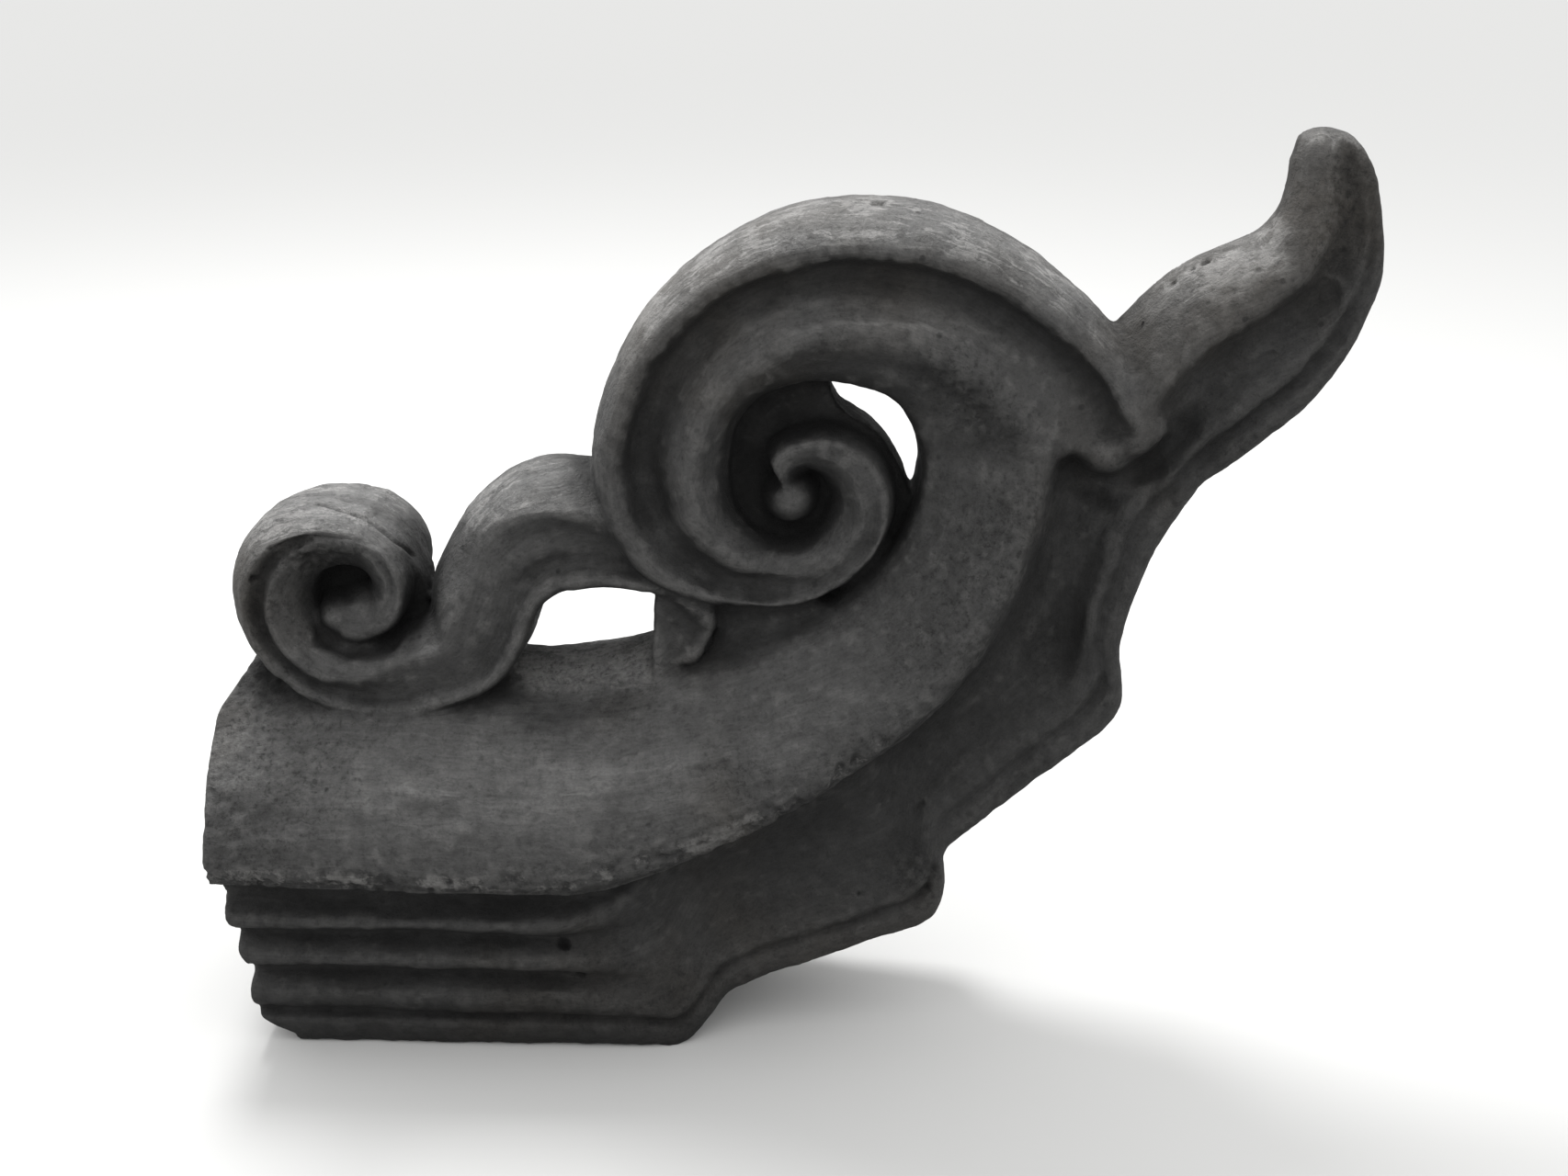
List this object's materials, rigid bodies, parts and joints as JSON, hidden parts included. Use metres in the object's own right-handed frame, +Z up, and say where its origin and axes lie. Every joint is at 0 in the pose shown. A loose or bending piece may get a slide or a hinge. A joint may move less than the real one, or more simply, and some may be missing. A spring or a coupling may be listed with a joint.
{
  "type": "roof ridge ornament",
  "caption": "Grey clay ridge-end ornament: rounded ridge body curling into a large scroll, with an upturned horn, a scalloped flange and a smaller scroll on a band.",
  "frame": {"origin": "on the middle plane of the foot's flat underside", "axes": "+Z up, +X along the ridge towards the horn, front carving towards -Y"},
  "size_m": [0.604, 0.1822, 0.5],
  "materials": {
    "grey_clay": "matt, unglazed, weathered"
  },
  "bodies": {
    "root": {"ridge_ornament": "grey_clay"}
  },
  "joints": []
}
